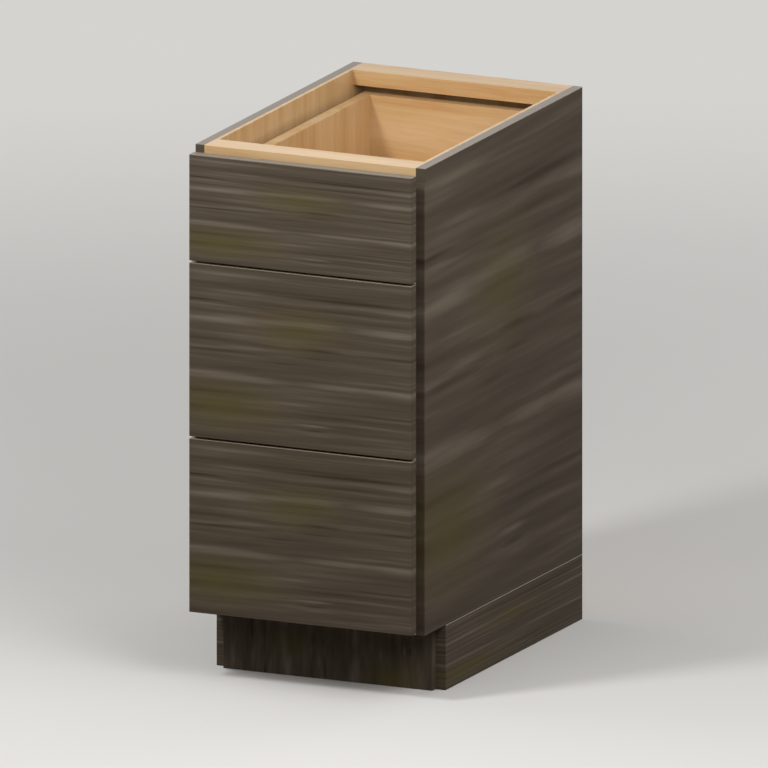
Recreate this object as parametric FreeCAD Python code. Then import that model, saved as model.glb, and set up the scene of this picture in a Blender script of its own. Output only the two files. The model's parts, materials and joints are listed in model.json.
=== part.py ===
import FreeCAD, Part
import itertools
import math
import os

# A base cabinet with three slab-fronted drawers, which run on full-extension ball-bearing runners, on a
# plinth with a set-back toe board. All sizes are in millimetres. The origin is on the floor, at the centre
# of the outer box. +X is to the right, +Y to the back and +Z up.

# Carcass
cabinet_width = 406.4
carcass_depth = 609.6
carcass_height = 774.7
outer_panel_thickness = 15.875
liner_thickness = 6.35
bottom_panel_thickness = 15.875
back_panel_thickness = 4.7625
top_rail_width = 44.45
top_rail_thickness = 25.4

# Plinth
plinth_height = 107.95
plinth_board_thickness = 18.0
plinth_setback = 81.5
toe_board_thickness = 12.7

# Drawer fronts
front_thickness = 19.05
side_reveal = 6.35
top_reveal = 7.9375
bottom_reveal = 7.9375
front_gap = 3.175
top_front_height = 176.2125
eased_edge = 0.8

# Drawer boxes
box_wall = 19.05
box_past_runner = 14.4625
box_rise_on_front = 19.05
top_box_height = 127.0
deep_box_height = 228.6
box_bottom_thickness = 6.35
box_bottom_rise = 12.7
groove_depth = 6.35
groove_play = 0.25
tail_pitch = 28.575
pin_width = 8.0
tail_slope = 1 / 7

# Runners
runner_length = 558.8
runner_height = 45.7
runner_width = 12.7
runner_setback = 3.0
sheet = 1.2
bend_radius = 1.1
running_gap = 0.3
ball_radius = 2.0
cradle_lean = 50.0
shoulder_rise = 20.0
outer_lip_angle = 40.0
carrier_lip_angle = 35.0
cage_sheet = 0.8
cage_rim = 0.6
window_play = 0.2
balls_in_row = 3

# The planes that the carcass and the fronts stand on
front_stand_off = box_wall
overall_depth = carcass_depth + front_stand_off + front_thickness
side_x = cabinet_width / 2
back_y = overall_depth / 2
carcass_front_y = back_y - carcass_depth
box_front_y = carcass_front_y - front_stand_off
front_face_y = box_front_y - front_thickness
carcass_bottom_z = plinth_height
carcass_top_z = plinth_height + carcass_height
between_panels_x = side_x - outer_panel_thickness
between_liners_x = between_panels_x - liner_thickness
back_panel_y = back_y - back_panel_thickness
floor_of_carcass_z = carcass_bottom_z + bottom_panel_thickness
box_length = front_stand_off + runner_setback + runner_length + box_past_runner

# The middle lines of a runner's three webs, and its two rows of balls, measured from the liner's face
# and from the runner's own middle height
ball_path = ball_radius + running_gap + sheet / 2
carrier_web_x = sheet + running_gap + cage_sheet + running_gap + sheet / 2
inner_web_x = runner_width - sheet / 2
bend_reach = bend_radius + ball_path
lean_x = bend_reach * math.cos(math.radians(cradle_lean))
outer_ball_x = carrier_web_x + bend_radius + lean_x
inner_ball_x = inner_web_x - bend_radius - lean_x
outer_ball_z = runner_height / 2 - sheet / 2 - ball_path
inner_ball_z = outer_ball_z - math.sqrt((2 * ball_path) ** 2 - (inner_ball_x - outer_ball_x) ** 2)

# A cage rolls half as far as the rail in front of it, so at half the runner's length it never leaves
# the stretch where its two rails overlap
cage_length = runner_length / 2

same_point = 1e-6


def board(x, y, z):
    """A square board between the two values given along each axis."""
    return Part.makeBox(x[1] - x[0], y[1] - y[0], z[1] - z[0], FreeCAD.Vector(x[0], y[0], z[0]))


def mirrored(shape):
    """The same shape on the other side of the cabinet's middle plane."""
    return shape.mirror(FreeCAD.Vector(0, 0, 0), FreeCAD.Vector(1, 0, 0))


def eased(shape, face_x=None):
    """The board with its edges eased: all of them, or those round the face at that X alone."""
    edges = [
        edge
        for edge in shape.Edges
        if face_x is None or all(abs(vertex.X - face_x) < same_point for vertex in edge.Vertexes)
    ]
    return shape.makeChamfer(eased_edge, edges)


def carcass():
    """The side panels with their liners, the bottom, the back and the two top rails."""
    depth = (carcass_front_y, back_y)
    inner_depth = (carcass_front_y, back_panel_y)
    height = (carcass_bottom_z, carcass_top_z)
    across = (-between_panels_x, between_panels_x)
    rail_height = (carcass_top_z - top_rail_thickness, carcass_top_z)
    front_rail = board(across, (carcass_front_y, carcass_front_y + top_rail_width), rail_height)
    back_rail = board(across, (back_panel_y - top_rail_width, back_panel_y), rail_height)
    right_panel = eased(board((between_panels_x, side_x), depth, height), side_x)
    # The rails' ends are let into notches in the liners' top corners
    liner = board((between_liners_x, between_panels_x), inner_depth, (floor_of_carcass_z, carcass_top_z))
    right_liner = liner.cut(front_rail).cut(back_rail)
    return {
        "left_side_panel": mirrored(right_panel),
        "right_side_panel": right_panel,
        "left_side_liner": mirrored(right_liner),
        "right_side_liner": right_liner,
        "bottom_panel": board(across, inner_depth, (carcass_bottom_z, floor_of_carcass_z)),
        "back_panel": board(across, (back_panel_y, back_y), height),
        "front_top_rail": front_rail,
        "back_top_rail": back_rail,
    }


def plinth():
    """Two sides and two cross rails under the carcass, and the toe board on the front rail."""
    front_y = carcass_front_y + plinth_setback
    inside_x = side_x - plinth_board_thickness
    height = (0, plinth_height)
    across = (-inside_x, inside_x)
    right_side = eased(board((inside_x, side_x), (front_y, back_y), height), side_x)
    return {
        "plinth_left_side": mirrored(right_side),
        "plinth_right_side": right_side,
        "plinth_front_rail": board(across, (front_y, front_y + plinth_board_thickness), height),
        "plinth_back_rail": board(across, (back_y - plinth_board_thickness, back_y), height),
        "toe_board": board(across, (front_y - toe_board_thickness, front_y), height),
    }


def front_heights():
    """The bottom and top of each drawer front, by drawer."""
    lowest_z = carcass_bottom_z + bottom_reveal
    top_front_z = carcass_top_z - top_reveal - top_front_height
    lower_height = (top_front_z - lowest_z - 2 * front_gap) / 2
    middle_front_z = top_front_z - front_gap - lower_height
    return {
        "top": (top_front_z, top_front_z + top_front_height),
        "middle": (middle_front_z, middle_front_z + lower_height),
        "bottom": (lowest_z, lowest_z + lower_height),
    }


def tails(outer_y, inner_y, box_z, wall_x):
    """The dovetails at one end of the box's right side: prisms across the wall, widest at its end."""
    count = max(1, round((box_z[1] - box_z[0]) / tail_pitch))
    pitch = (box_z[1] - box_z[0]) / count
    half_at_end = (pitch - pin_width) / 2
    half_at_root = half_at_end - abs(outer_y - inner_y) * tail_slope
    prisms = []
    for index in range(count):
        middle_z = box_z[0] + (index + 0.5) * pitch
        corners = [
            (outer_y, middle_z - half_at_end),
            (outer_y, middle_z + half_at_end),
            (inner_y, middle_z + half_at_root),
            (inner_y, middle_z - half_at_root),
        ]
        points = [FreeCAD.Vector(wall_x[0], y, z) for y, z in corners]
        outline = Part.makePolygon(points + points[:1])
        prisms.append(Part.Face(outline).extrude(FreeCAD.Vector(wall_x[1] - wall_x[0], 0, 0)))
    return Part.makeCompound(prisms)


def drawer(name, front_z, box_height):
    """A dovetailed box with its bottom in grooves, and the drawer front on the face of the box."""
    outside_x = between_liners_x - runner_width
    inside_x = outside_x - box_wall
    box_z = (front_z[0] + box_rise_on_front, front_z[0] + box_rise_on_front + box_height)
    box_y = (box_front_y, box_front_y + box_length)
    inside_y = (box_y[0] + box_wall, box_y[1] - box_wall)
    wall_x = (inside_x, outside_x)
    across = (-outside_x, outside_x)

    bottom_z = box_z[0] + box_bottom_rise
    bottom_x = inside_x + groove_depth - groove_play
    bottom = board(
        (-bottom_x, bottom_x),
        (inside_y[0] - groove_depth + groove_play, inside_y[1] + groove_depth - groove_play),
        (bottom_z, bottom_z + box_bottom_thickness),
    )
    groove = board(
        (-inside_x - groove_depth, inside_x + groove_depth),
        (inside_y[0] - groove_depth, inside_y[1] + groove_depth),
        (bottom_z, bottom_z + box_bottom_thickness + groove_play),
    )

    front_tails = tails(box_y[0], inside_y[0], box_z, wall_x)
    back_tails = tails(box_y[1], inside_y[1], box_z, wall_x)
    right_side = board(wall_x, inside_y, box_z).fuse([*front_tails.Solids, *back_tails.Solids])
    right_side = right_side.removeSplitter().cut(groove)

    box_front = board(across, (box_y[0], inside_y[0]), box_z).cut(groove)
    box_front = box_front.cut(front_tails).cut(mirrored(front_tails))
    box_back = board(across, (inside_y[1], box_y[1]), box_z).cut(groove)
    box_back = box_back.cut(back_tails).cut(mirrored(back_tails))

    front_x = side_x - side_reveal
    front = eased(board((-front_x, front_x), (front_face_y, box_front_y), front_z))
    return {
        f"{name}_drawer_front": front,
        f"{name}_box_front": box_front,
        f"{name}_box_back": box_back,
        f"{name}_box_left_side": mirrored(right_side),
        f"{name}_box_right_side": right_side,
        f"{name}_box_bottom": bottom,
    }


def around(centre, radius, degrees):
    """The point at that angle round a centre, in a runner's section."""
    angle = math.radians(degrees)
    return FreeCAD.Vector(centre[0] + radius * math.cos(angle), 0, centre[1] + radius * math.sin(angle))


def sheet_side(web_x, arcs, offset):
    """One side of a formed sheet, that far to the left of its middle line, and where it ends."""
    edges = []
    last = FreeCAD.Vector(web_x - offset, 0, 0)
    for centre, radius, start, end in arcs:
        side_radius = radius + offset if end < start else radius - offset
        first = around(centre, side_radius, start)
        if last.distanceToPoint(first) > same_point:
            edges.append(Part.LineSegment(last, first).toShape())
        middle = around(centre, side_radius, (start + end) / 2)
        last = around(centre, side_radius, end)
        edges.append(Part.Arc(first, middle, last).toShape())
    return edges, last


def rail_profile(web_x, arcs):
    """A rail of formed sheet: its web, and at top and bottom the arcs that its flange is bent to, each
    with its centre, the radius of its middle line, and its first and last angle. Runs join the arcs."""
    left, left_end = sheet_side(web_x, arcs, sheet / 2)
    right, right_end = sheet_side(web_x, arcs, -sheet / 2)
    foot = Part.LineSegment(FreeCAD.Vector(web_x - sheet / 2, 0, 0), FreeCAD.Vector(web_x + sheet / 2, 0, 0))
    lip = Part.LineSegment(left_end, right_end)
    edges = [*left, lip.toShape(), *right, foot.toShape()]
    section = Part.Face(Part.Wire(Part.__sortEdges__(edges)))
    half = section.extrude(FreeCAD.Vector(0, runner_length, 0))
    return half.fuse(half.mirror(FreeCAD.Vector(0, 0, 0), FreeCAD.Vector(0, 0, 1))).removeSplitter()


def outer_rail():
    """The rail on the liner: its flanges slope up to the outer balls and close over them."""
    web_x = sheet / 2
    rise = math.radians(shoulder_rise)
    run_in = outer_ball_x - web_x - bend_radius
    bend_z = outer_ball_z - (bend_radius - ball_path + run_in * math.sin(rise)) / math.cos(rise)
    over = 90 + shoulder_rise
    return rail_profile(web_x, [
        ((web_x + bend_radius, bend_z), bend_radius, 180, over),
        ((outer_ball_x, outer_ball_z), ball_path, over, outer_lip_angle),
    ])


def carrier_rail():
    """The rail between: its flanges cradle the outer balls, then turn over the inner ones."""
    outer_ball = (outer_ball_x, outer_ball_z)
    inner_ball = (inner_ball_x, inner_ball_z)
    cradle_start = 180 + cradle_lean
    turn = math.degrees(math.atan2(outer_ball_z - inner_ball_z, outer_ball_x - inner_ball_x))
    bend = around(outer_ball, bend_reach, cradle_start)
    return rail_profile(carrier_web_x, [
        ((bend.x, bend.z), bend_radius, 180, cradle_lean),
        (outer_ball, ball_path, cradle_start, 180 + turn),
        (inner_ball, ball_path, turn, carrier_lip_angle),
    ])


def inner_rail():
    """The rail on the drawer: its flanges turn back from the drawer and cradle the inner balls."""
    inner_ball = (inner_ball_x, inner_ball_z)
    cradle_start = 360 - cradle_lean
    bend = around(inner_ball, bend_reach, cradle_start)
    return rail_profile(inner_web_x, [
        ((bend.x, bend.z), bend_radius, 0, cradle_start - 180),
        (inner_ball, ball_path, cradle_start, 180 + outer_lip_angle),
    ])


def ball(x, y, z):
    """A bearing ball. There are many and they are small, so each is the twenty-faced solid in its sphere."""
    golden = (1 + math.sqrt(5)) / 2
    scale = ball_radius / math.hypot(1, golden)
    corners = []
    for short, long in itertools.product((-scale, scale), (-scale * golden, scale * golden)):
        corners += [(0, short, long), (short, long, 0), (long, 0, short)]
    points = [FreeCAD.Vector(*corner) + FreeCAD.Vector(x, y, z) for corner in corners]
    faces = []
    for trio in itertools.combinations(points, 3):
        sides = [a.distanceToPoint(b) for a, b in itertools.combinations(trio, 2)]
        if max(sides) < 2 * scale + same_point:
            faces.append(Part.Face(Part.makePolygon([*trio, trio[0]])))
    return Part.Solid(Part.Shell(faces))


def ball_cage(web_x, ball_x, ball_z):
    """The sheet channel that keeps two rows of balls apart, and its balls, one row above the other."""
    start_y = (runner_length - cage_length) / 2
    reach = ball_x + ball_radius + window_play + cage_rim
    half_z = ball_z + cage_sheet / 2
    span_y = (start_y, start_y + cage_length)
    hollow_z = half_z - cage_sheet
    channel = board((web_x, reach), span_y, (-half_z, half_z))
    channel = channel.cut(board((web_x + cage_sheet, reach), span_y, (-hollow_z, hollow_z)))
    window = ball_radius + window_play
    pitch = cage_length / balls_in_row
    balls = []
    for index in range(balls_in_row):
        y = start_y + (index + 0.5) * pitch
        across = (ball_x - window, ball_x + window)
        channel = channel.cut(board(across, (y - window, y + window), (-half_z, half_z)))
        balls += [ball(ball_x, y, ball_z), ball(ball_x, y, -ball_z)]
    return [channel, *balls]


def runners(name, middle_z):
    """The pair of runners of one drawer, between the liners and the sides of its box."""
    place = FreeCAD.Vector(-between_liners_x, carcass_front_y + runner_setback, middle_z)
    nodes = {}
    rails = {"outer_rail": outer_rail(), "carrier_rail": carrier_rail(), "inner_rail": inner_rail()}
    for rail, shape in rails.items():
        left = shape.translated(place)
        nodes[f"{name}_left_{rail}"] = left
        nodes[f"{name}_right_{rail}"] = mirrored(left)
    cages = {
        "outer_ball_cages": ball_cage(sheet + running_gap, outer_ball_x, outer_ball_z),
        "inner_ball_cages": ball_cage(carrier_web_x + sheet / 2 + running_gap, inner_ball_x, inner_ball_z),
    }
    for cage, solids in cages.items():
        left = [solid.translated(place) for solid in solids]
        nodes[f"{name}_{cage}"] = Part.makeCompound(left + [mirrored(solid) for solid in left])
    return nodes


def cabinet():
    """Every piece of the cabinet by its name."""
    nodes = {**carcass(), **plinth()}
    for name, front_z in front_heights().items():
        box_height = top_box_height if name == "top" else deep_box_height
        nodes.update(drawer(name, front_z, box_height))
        nodes.update(runners(name, front_z[0] + box_rise_on_front + box_height / 2))
    return nodes


os.makedirs("parts", exist_ok=True)
for node_name, node_shape in cabinet().items():
    node_shape.exportStep(f"parts/{node_name}.step")
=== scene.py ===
import json
import math
import random
from contextlib import contextmanager

import bmesh
import bpy
import numpy as np
from bpy.props import FloatProperty, FloatVectorProperty, IntProperty, PointerProperty
from bpy.types import Operator, Panel, PropertyGroup
from mathutils import Matrix, Vector

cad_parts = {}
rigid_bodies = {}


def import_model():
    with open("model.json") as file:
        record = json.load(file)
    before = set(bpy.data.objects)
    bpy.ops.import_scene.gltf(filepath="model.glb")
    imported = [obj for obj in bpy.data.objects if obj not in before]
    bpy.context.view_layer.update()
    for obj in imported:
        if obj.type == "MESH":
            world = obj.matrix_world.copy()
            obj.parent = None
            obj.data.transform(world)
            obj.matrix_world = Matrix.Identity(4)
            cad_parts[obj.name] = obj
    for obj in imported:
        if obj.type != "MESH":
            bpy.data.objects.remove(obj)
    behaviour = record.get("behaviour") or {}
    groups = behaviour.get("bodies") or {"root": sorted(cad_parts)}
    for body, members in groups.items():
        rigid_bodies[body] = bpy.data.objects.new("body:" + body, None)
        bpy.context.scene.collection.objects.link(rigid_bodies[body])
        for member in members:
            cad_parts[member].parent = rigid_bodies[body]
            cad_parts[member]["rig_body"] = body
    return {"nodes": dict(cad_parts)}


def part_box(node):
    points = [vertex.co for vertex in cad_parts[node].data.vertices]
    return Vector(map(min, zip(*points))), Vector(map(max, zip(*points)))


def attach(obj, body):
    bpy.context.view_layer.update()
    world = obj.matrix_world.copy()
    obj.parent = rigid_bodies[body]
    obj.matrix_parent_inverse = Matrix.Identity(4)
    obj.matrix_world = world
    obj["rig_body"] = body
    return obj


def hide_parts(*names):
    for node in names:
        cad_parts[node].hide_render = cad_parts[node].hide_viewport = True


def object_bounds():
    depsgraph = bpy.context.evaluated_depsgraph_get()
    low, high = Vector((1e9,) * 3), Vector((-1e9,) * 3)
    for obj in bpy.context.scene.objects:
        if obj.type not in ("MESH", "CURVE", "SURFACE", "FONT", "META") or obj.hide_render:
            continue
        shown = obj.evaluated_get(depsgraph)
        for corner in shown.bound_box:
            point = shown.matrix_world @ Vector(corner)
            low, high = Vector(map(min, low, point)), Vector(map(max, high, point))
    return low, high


bl_info = {
    "name": "Drawer base cabinet",
    "version": (1, 0, 0),
    "blender": (4, 5, 0),
    "location": "3D View > Sidebar > Cabinet",
    "description": "Dresses the frame of a three-drawer base cabinet in laminate, maple and steel",
    "category": "Object",
}

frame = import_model()
cad_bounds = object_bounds()

DRAWERS = ("top", "middle", "bottom")
SIDES = ("left", "right")
AXES = {"x": 0, "y": 1, "z": 2}


def mm(length):
    """A length in millimetres as metres."""
    return length / 1000


def every(*millimetres):
    """The scale of a pattern whose marks are this far apart: one number, or one for each axis."""
    scales = [1 / mm(spacing) for spacing in millimetres]
    return scales[0] if len(scales) == 1 else scales


def linear(hex_colour):
    """An sRGB hex colour as the linear colour that a shader takes."""
    channels = [int(hex_colour[i:i + 2], 16) / 255 for i in (1, 3, 5)]
    return tuple(c / 12.92 if c <= 0.04045 else ((c + 0.055) / 1.055) ** 2.4 for c in channels)


# ---------------------------------------------------------------------------------------------
# What a user would change
# ---------------------------------------------------------------------------------------------

def colour(name, description, hex_colour):
    """A colour setting with its default as sRGB hex."""
    return FloatVectorProperty(
        name=name, description=description, subtype="COLOR", size=3, min=0, max=1, default=linear(hex_colour)
    )


def length(name, description, millimetres):
    """A length setting with its default in millimetres."""
    return FloatProperty(
        name=name, description=description, subtype="DISTANCE", unit="LENGTH", min=0, default=mm(millimetres)
    )


def angle(name, description, degrees):
    """An angle setting with its default in degrees."""
    return FloatProperty(
        name=name, description=description, subtype="ANGLE", unit="ROTATION", default=math.radians(degrees)
    )


def power(name, description, watts):
    """A lamp's power setting with its default in watts."""
    return FloatProperty(
        name=name, description=description, subtype="POWER", unit="POWER", min=0, default=watts
    )


class BoardSettings(PropertyGroup):
    """The boards' edges and colours"""

    panel_rounding: length("Panel rounding", "Radius left on the laminated boards' edges", 0.25)
    maple_rounding: length("Maple rounding", "Radius left on the maple boards' edges", 0.5)
    joint_rounding: length("Joint rounding", "Radius left at the dovetails", 0.15)
    laminate_dark: colour("Laminate, dark", "The darkest streaks of the print", "#3f362b")
    laminate_base: colour("Laminate", "The ground colour of the print", "#574d41")
    laminate_light: colour("Laminate, light", "The lightest streaks of the print", "#766b5e")
    laminate_olive: colour("Laminate, olive", "The faint green-brown patches of the print", "#5b5233")
    # The band's colour, lighter than the print, is partly a painted sheen: it is laid only on faces that look
    # up
    edge_band_and_sheen: colour("Edge band", "The plastic band on the boards' edges", "#6a5c4a")
    core: colour("Core", "The particle board under the laminate", "#a58a66")
    maple_light: colour("Maple, light", "The pale wood between the growth rings", "#d0b087")
    maple_base: colour("Maple", "The wood's ground colour", "#c4a274")
    maple_dark: colour("Maple, dark", "The darker lines of the growth rings", "#b68a57")
    maple_end: colour("Maple, end grain", "The wood's cut ends, which drink the lacquer", "#a07c4c")


class RunnerSettings(PropertyGroup):
    """The runners' balls, cages, screws and levers, and their colours"""

    balls_in_row: IntProperty(name="Balls in a row", description="Balls in each row", default=8, min=1)
    ball_radius: length("Ball radius", "Radius of a bearing ball", 2)
    outer_balls_in: length("Outer balls", "From the outer cage's back to the middle of its balls", 5.371)
    inner_balls_in: length("Inner balls", "From the inner cage's back to the middle of its balls", 4.329)
    cage_sheet: length("Cage sheet", "Thickness of the cages' sheet", 0.8)
    cage_rim: length("Cage rim", "Sheet left beyond each ball's window", 0.6)
    cage_edge: length("Cage edge", "Bevel left on the cages' edges by the press", 0.15)
    window_play: length("Window play", "Room round a ball in its window", 0.2)
    rail_sheet: length("Rail sheet", "Thickness of the rails' sheet", 1.2)
    rail_screw: length("Runner screw", "Diameter of a screw's head in the runners", 7.6)
    rail_screw_height: length("Runner screw height", "Height of a screw's head on an inner rail", 2.2)
    front_screw: length("Front screw", "Diameter of a screw's head in a box front", 11)
    front_screw_height: length("Front screw height", "Height of a screw's head in a box front", 2.6)
    screw_margin: length("Screw margin", "From a box front's edges to its screws", 38)
    lever_length: length("Lever length", "Length of a release lever", 62)
    lever_back: length("Lever place", "From a rail's front end to its release lever", 150)
    zinc: colour("Zinc", "The plated sheet of the rails", "#b9bcbf")
    ball_steel: colour("Ball steel", "The hardened steel of the balls", "#c9cbce")
    lever_plastic: colour("Lever", "The moulded release levers", "#17181a")
    screw_zinc: colour("Screw zinc", "The plated screws", "#c4c2bb")


class StageSettings(PropertyGroup):
    """The floor, the camera and the lamps"""

    view_azimuth: angle("Azimuth", "Where the camera stands", 24.62)
    view_elevation: angle("Elevation", "How high the camera stands", 13.84)
    view_height: length("View height", "How much of the stage the picture takes in", 1236.3)
    floor: colour("Floor", "The floor, as the camera and reflections see it", "#dddbd8")
    floor_bounce: colour("Floor's bounce", "How much of the light on it the floor sends back", "#5f5d5b")
    floor_reach: length("Floor's reach", "Radius of the floor", 16000)
    glow_start: length("Glow start", "How far out the floor starts to glow", 700)
    glow_end: length("Glow end", "How far out the floor's glow is full", 4000)
    key_power: power("Key", "Small lamp, front left", 28)
    fill_power: power("Fill", "Wide lamp in front", 11)
    right_power: power("Right", "Lamp at the front right", 23.5)
    side_power: power("Side", "Lamp over the right side", 9.5)
    left_power: power("Left", "Lamp on the left", 13)
    back_power: power("Back", "Lamp behind", 14)
    sky_strength: FloatProperty(name="Sky", description="Even light from all round", default=0.22, min=0)


# ---------------------------------------------------------------------------------------------
# Shaping
# ---------------------------------------------------------------------------------------------

# A face looks along an axis where its normal has this much of it
FACING = 0.9

# Corners of a CAD mesh that are this near are one, and faces that turn less than this are one flat face
SAME_CORNER = mm(0.002)
SAME_FACE = math.radians(1)

# Corners of a new piece that are this near are one
WELDED = mm(0.01)

# An edge that turns more than this is rounded
SHARP = math.radians(30)

# Metres of timber that the boards' grain is taken from
TIMBER = 10


def deselect():
    """Nothing is selected, so that an operator acts on the new piece alone."""
    bpy.ops.object.select_all(action="DESELECT")


def activate(piece):
    """The piece alone is selected and active."""
    deselect()
    piece.select_set(True)
    bpy.context.view_layer.objects.active = piece


@contextmanager
def edit_mode(piece):
    """Opens the piece in edit mode, and closes it again."""
    activate(piece)
    bpy.ops.object.mode_set(mode="EDIT")
    yield
    bpy.ops.object.mode_set(mode="OBJECT")


def select_faces(piece, wanted):
    """Selects, in edit mode, the faces for which wanted(centre, normal) is true."""
    shape = bmesh.from_edit_mesh(piece.data)
    bpy.ops.mesh.select_all(action="DESELECT")
    for face in shape.faces:
        if wanted(face.calc_center_median(), face.normal):
            face.select_set(True)
    bmesh.update_edit_mesh(piece.data)


def new_object(name, data):
    """A new object in the scene, for a mesh, a lamp or a camera."""
    made = bpy.data.objects.new(name, data)
    bpy.context.scene.collection.objects.link(made)
    return made


def copy_of_node(node, name):
    """A copy of a CAD node's mesh as a new piece, with its corners joined and its flat faces whole."""
    piece = new_object(name, frame["nodes"][node].data.copy())
    piece.data.materials.clear()
    activate(piece)
    bpy.ops.mesh.customdata_custom_splitnormals_clear()
    with edit_mode(piece):
        bpy.ops.mesh.select_all(action="SELECT")
        bpy.ops.mesh.remove_doubles(threshold=SAME_CORNER)
        bpy.ops.mesh.dissolve_limited(angle_limit=SAME_FACE)
    return piece


def copy_to(piece, name, placing):
    """A copy of the piece with its own mesh, placed by a matrix."""
    mesh = piece.data.copy()
    mesh.transform(placing)
    return new_object(name, mesh)


def start(add_primitive, **sizes):
    """A primitive at its size and place, with its object at the origin, unturned and unscaled."""
    deselect()
    add_primitive(**sizes)
    piece = bpy.context.object
    activate(piece)
    bpy.ops.object.transform_apply(location=True, rotation=True, scale=True)
    return piece


def modify(piece, kind, **settings):
    """Adds a modifier with its settings, and applies it."""
    activate(piece)
    bpy.ops.object.modifier_add(type=kind)
    modifier = piece.modifiers[-1]
    for name, value in settings.items():
        setattr(modifier, name, value)
    bpy.ops.object.modifier_apply(modifier=modifier.name)


def round_edges(piece, radius):
    """Rounds every sharp edge of the piece, and shades it smooth up to the edges."""
    modify(
        piece, "BEVEL", width=radius, segments=2, limit_method="ANGLE", angle_limit=SHARP, harden_normals=True
    )


def shade(piece, crease):
    """Shades the piece smooth, but for edges that turn by more degrees than the crease."""
    activate(piece)
    bpy.ops.object.shade_smooth_by_angle(angle=math.radians(crease))


def repeat(piece, count, step, joined=False):
    """Copies of the piece in a row, each a step from the last."""
    modify(
        piece, "ARRAY", count=count, use_relative_offset=False, use_constant_offset=True,
        constant_offset_displace=step, use_merge_vertices=joined, merge_threshold=WELDED,
    )


def mirror_across(piece):
    """The other side's like piece, with its faces turned out again."""
    modify(piece, "MIRROR", use_mirror_merge=False)
    with edit_mode(piece):
        bpy.ops.mesh.select_all(action="SELECT")
        bpy.ops.mesh.normals_make_consistent(inside=False)


def cut(piece, cutter):
    """Takes the cutter's shape out of the piece, and the cutter away."""
    modify(piece, "BOOLEAN", operation="DIFFERENCE", solver="EXACT", object=cutter)
    bpy.data.objects.remove(cutter)


def join(pieces, name):
    """The pieces as one."""
    deselect()
    for piece in pieces:
        piece.select_set(True)
    bpy.context.view_layer.objects.active = pieces[0]
    bpy.ops.object.join()
    pieces[0].name = name
    return pieces[0]


def lay_grain(piece, node, axes):
    """Stores on the piece's points where each lies in its material. axes names the board's own length,
    width and thickness, each with a minus where the material runs the other way. "grain" is in metres,
    each board cut from another place in the timber. "print" runs from 0 to 1 over the board's face."""
    points = np.zeros(len(piece.data.vertices) * 3)
    piece.data.vertices.foreach_get("co", points)
    points = points.reshape(-1, 3)
    low, high = (np.array(corner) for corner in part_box(node))
    grain = np.zeros(points.shape)
    share = np.zeros(points.shape)
    for place, axis in enumerate(axes):
        index = AXES[axis[-1]]
        run = high[index] - points[:, index] if axis.startswith("-") else points[:, index] - low[index]
        grain[:, place] = run + random.Random(f"board {node} {axis}").uniform(0, TIMBER)
        share[:, place] = run / (high[index] - low[index])
    for name, values in (("grain", grain), ("print", share)):
        attribute = piece.data.attributes.new(name, "FLOAT_VECTOR", "POINT")
        attribute.data.foreach_set("vector", values.astype(np.float32).ravel())


def coat(piece, *finishes):
    """The piece takes its materials by name."""
    for finish in finishes:
        piece.data.materials.append(bpy.data.materials[finish])


def seat(piece, node, stands_for_node=True):
    """The piece rides on the node's body. A screw or a lever only sits on
    its node, and any other piece stands for it."""
    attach(piece, frame["nodes"][node]["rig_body"])
    if stands_for_node:
        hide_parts(node)


# ---------------------------------------------------------------------------------------------
# Materials
# ---------------------------------------------------------------------------------------------

# Soft noise seldom leaves this range
NOISE_LOW = 0.3
NOISE_HIGH = 0.7

# A wave pattern of scale 1 has a ring about every 0.31 units, and a diagonal band every 0.62 along an axis
RING_PERIOD = 0.31
BAND_PERIOD = 0.62

# The sockets of a Mix node that mixes colours
MIX_FACTOR = 0
MIX_FIRST = 6
MIX_SECOND = 7
MIXED_COLOUR = 2


def add(tree, kind, settings=None, inputs=None, stops=()):
    """Adds a node with its settings. An input is given a value, the socket that feeds it, or the node whose
    first output feeds it. A colour ramp is given its stops in order, each a level and the colour there."""
    made = tree.nodes.new(f"ShaderNode{kind}")
    for name, value in (settings or {}).items():
        setattr(made, name, value)
    for key, value in (inputs or {}).items():
        feed = value.outputs[0] if isinstance(value, bpy.types.Node) else value
        if isinstance(feed, bpy.types.NodeSocket):
            tree.links.new(feed, made.inputs[key])
        else:
            made.inputs[key].default_value = feed
    for number, (level, stop_colour) in enumerate(stops):
        # A new ramp has two stops already
        ramp = made.color_ramp.elements
        stop = ramp[number] if number < 2 else ramp.new(level)
        stop.position = level
        stop.color = (*stop_colour, 1)
    return made


def material(name):
    """An empty material, as its node tree."""
    made = bpy.data.materials.new(name)
    made.use_nodes = True
    made.node_tree.nodes.clear()
    return made.node_tree


def surface(tree, inputs):
    """Ends a material with its shader. What is the same all over is set on the shader's own socket."""
    shader = add(tree, "BsdfPrincipled", inputs=inputs)
    add(tree, "OutputMaterial", inputs={"Surface": shader})


def shaded(base, strength):
    """A colour with its light made stronger or weaker."""
    return [min(1, channel * strength) for channel in base]


def marks(tree, where, scale, detail):
    """Soft random marks, with a scale of their own along each axis."""
    stretched = add(tree, "VectorMath", {"operation": "MULTIPLY"}, {0: where, 1: scale})
    return add(tree, "TexNoise", inputs={"Vector": stretched, "Scale": 1.0, "Detail": detail})


def wander(tree, where, scale, reach, detail):
    """Coordinates that soft random marks pull to and fro by up to half of the reach."""
    pull = marks(tree, where, scale, detail).outputs["Color"]
    centred = add(tree, "VectorMath", {"operation": "SUBTRACT"}, {0: pull, 1: (0.5, 0.5, 0.5)})
    return add(tree, "VectorMath", {"operation": "MULTIPLY_ADD"}, {0: centred, 1: reach, 2: where})


def swing(tree, level, pattern, strength):
    """A level that a pattern of 0 to 1 lowers and lifts by up to its strength."""
    centred = add(tree, "Math", {"operation": "SUBTRACT"}, {0: pattern, 1: 0.5})
    return add(tree, "Math", {"operation": "MULTIPLY_ADD"}, {0: centred, 1: strength * 2, 2: level})


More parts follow.
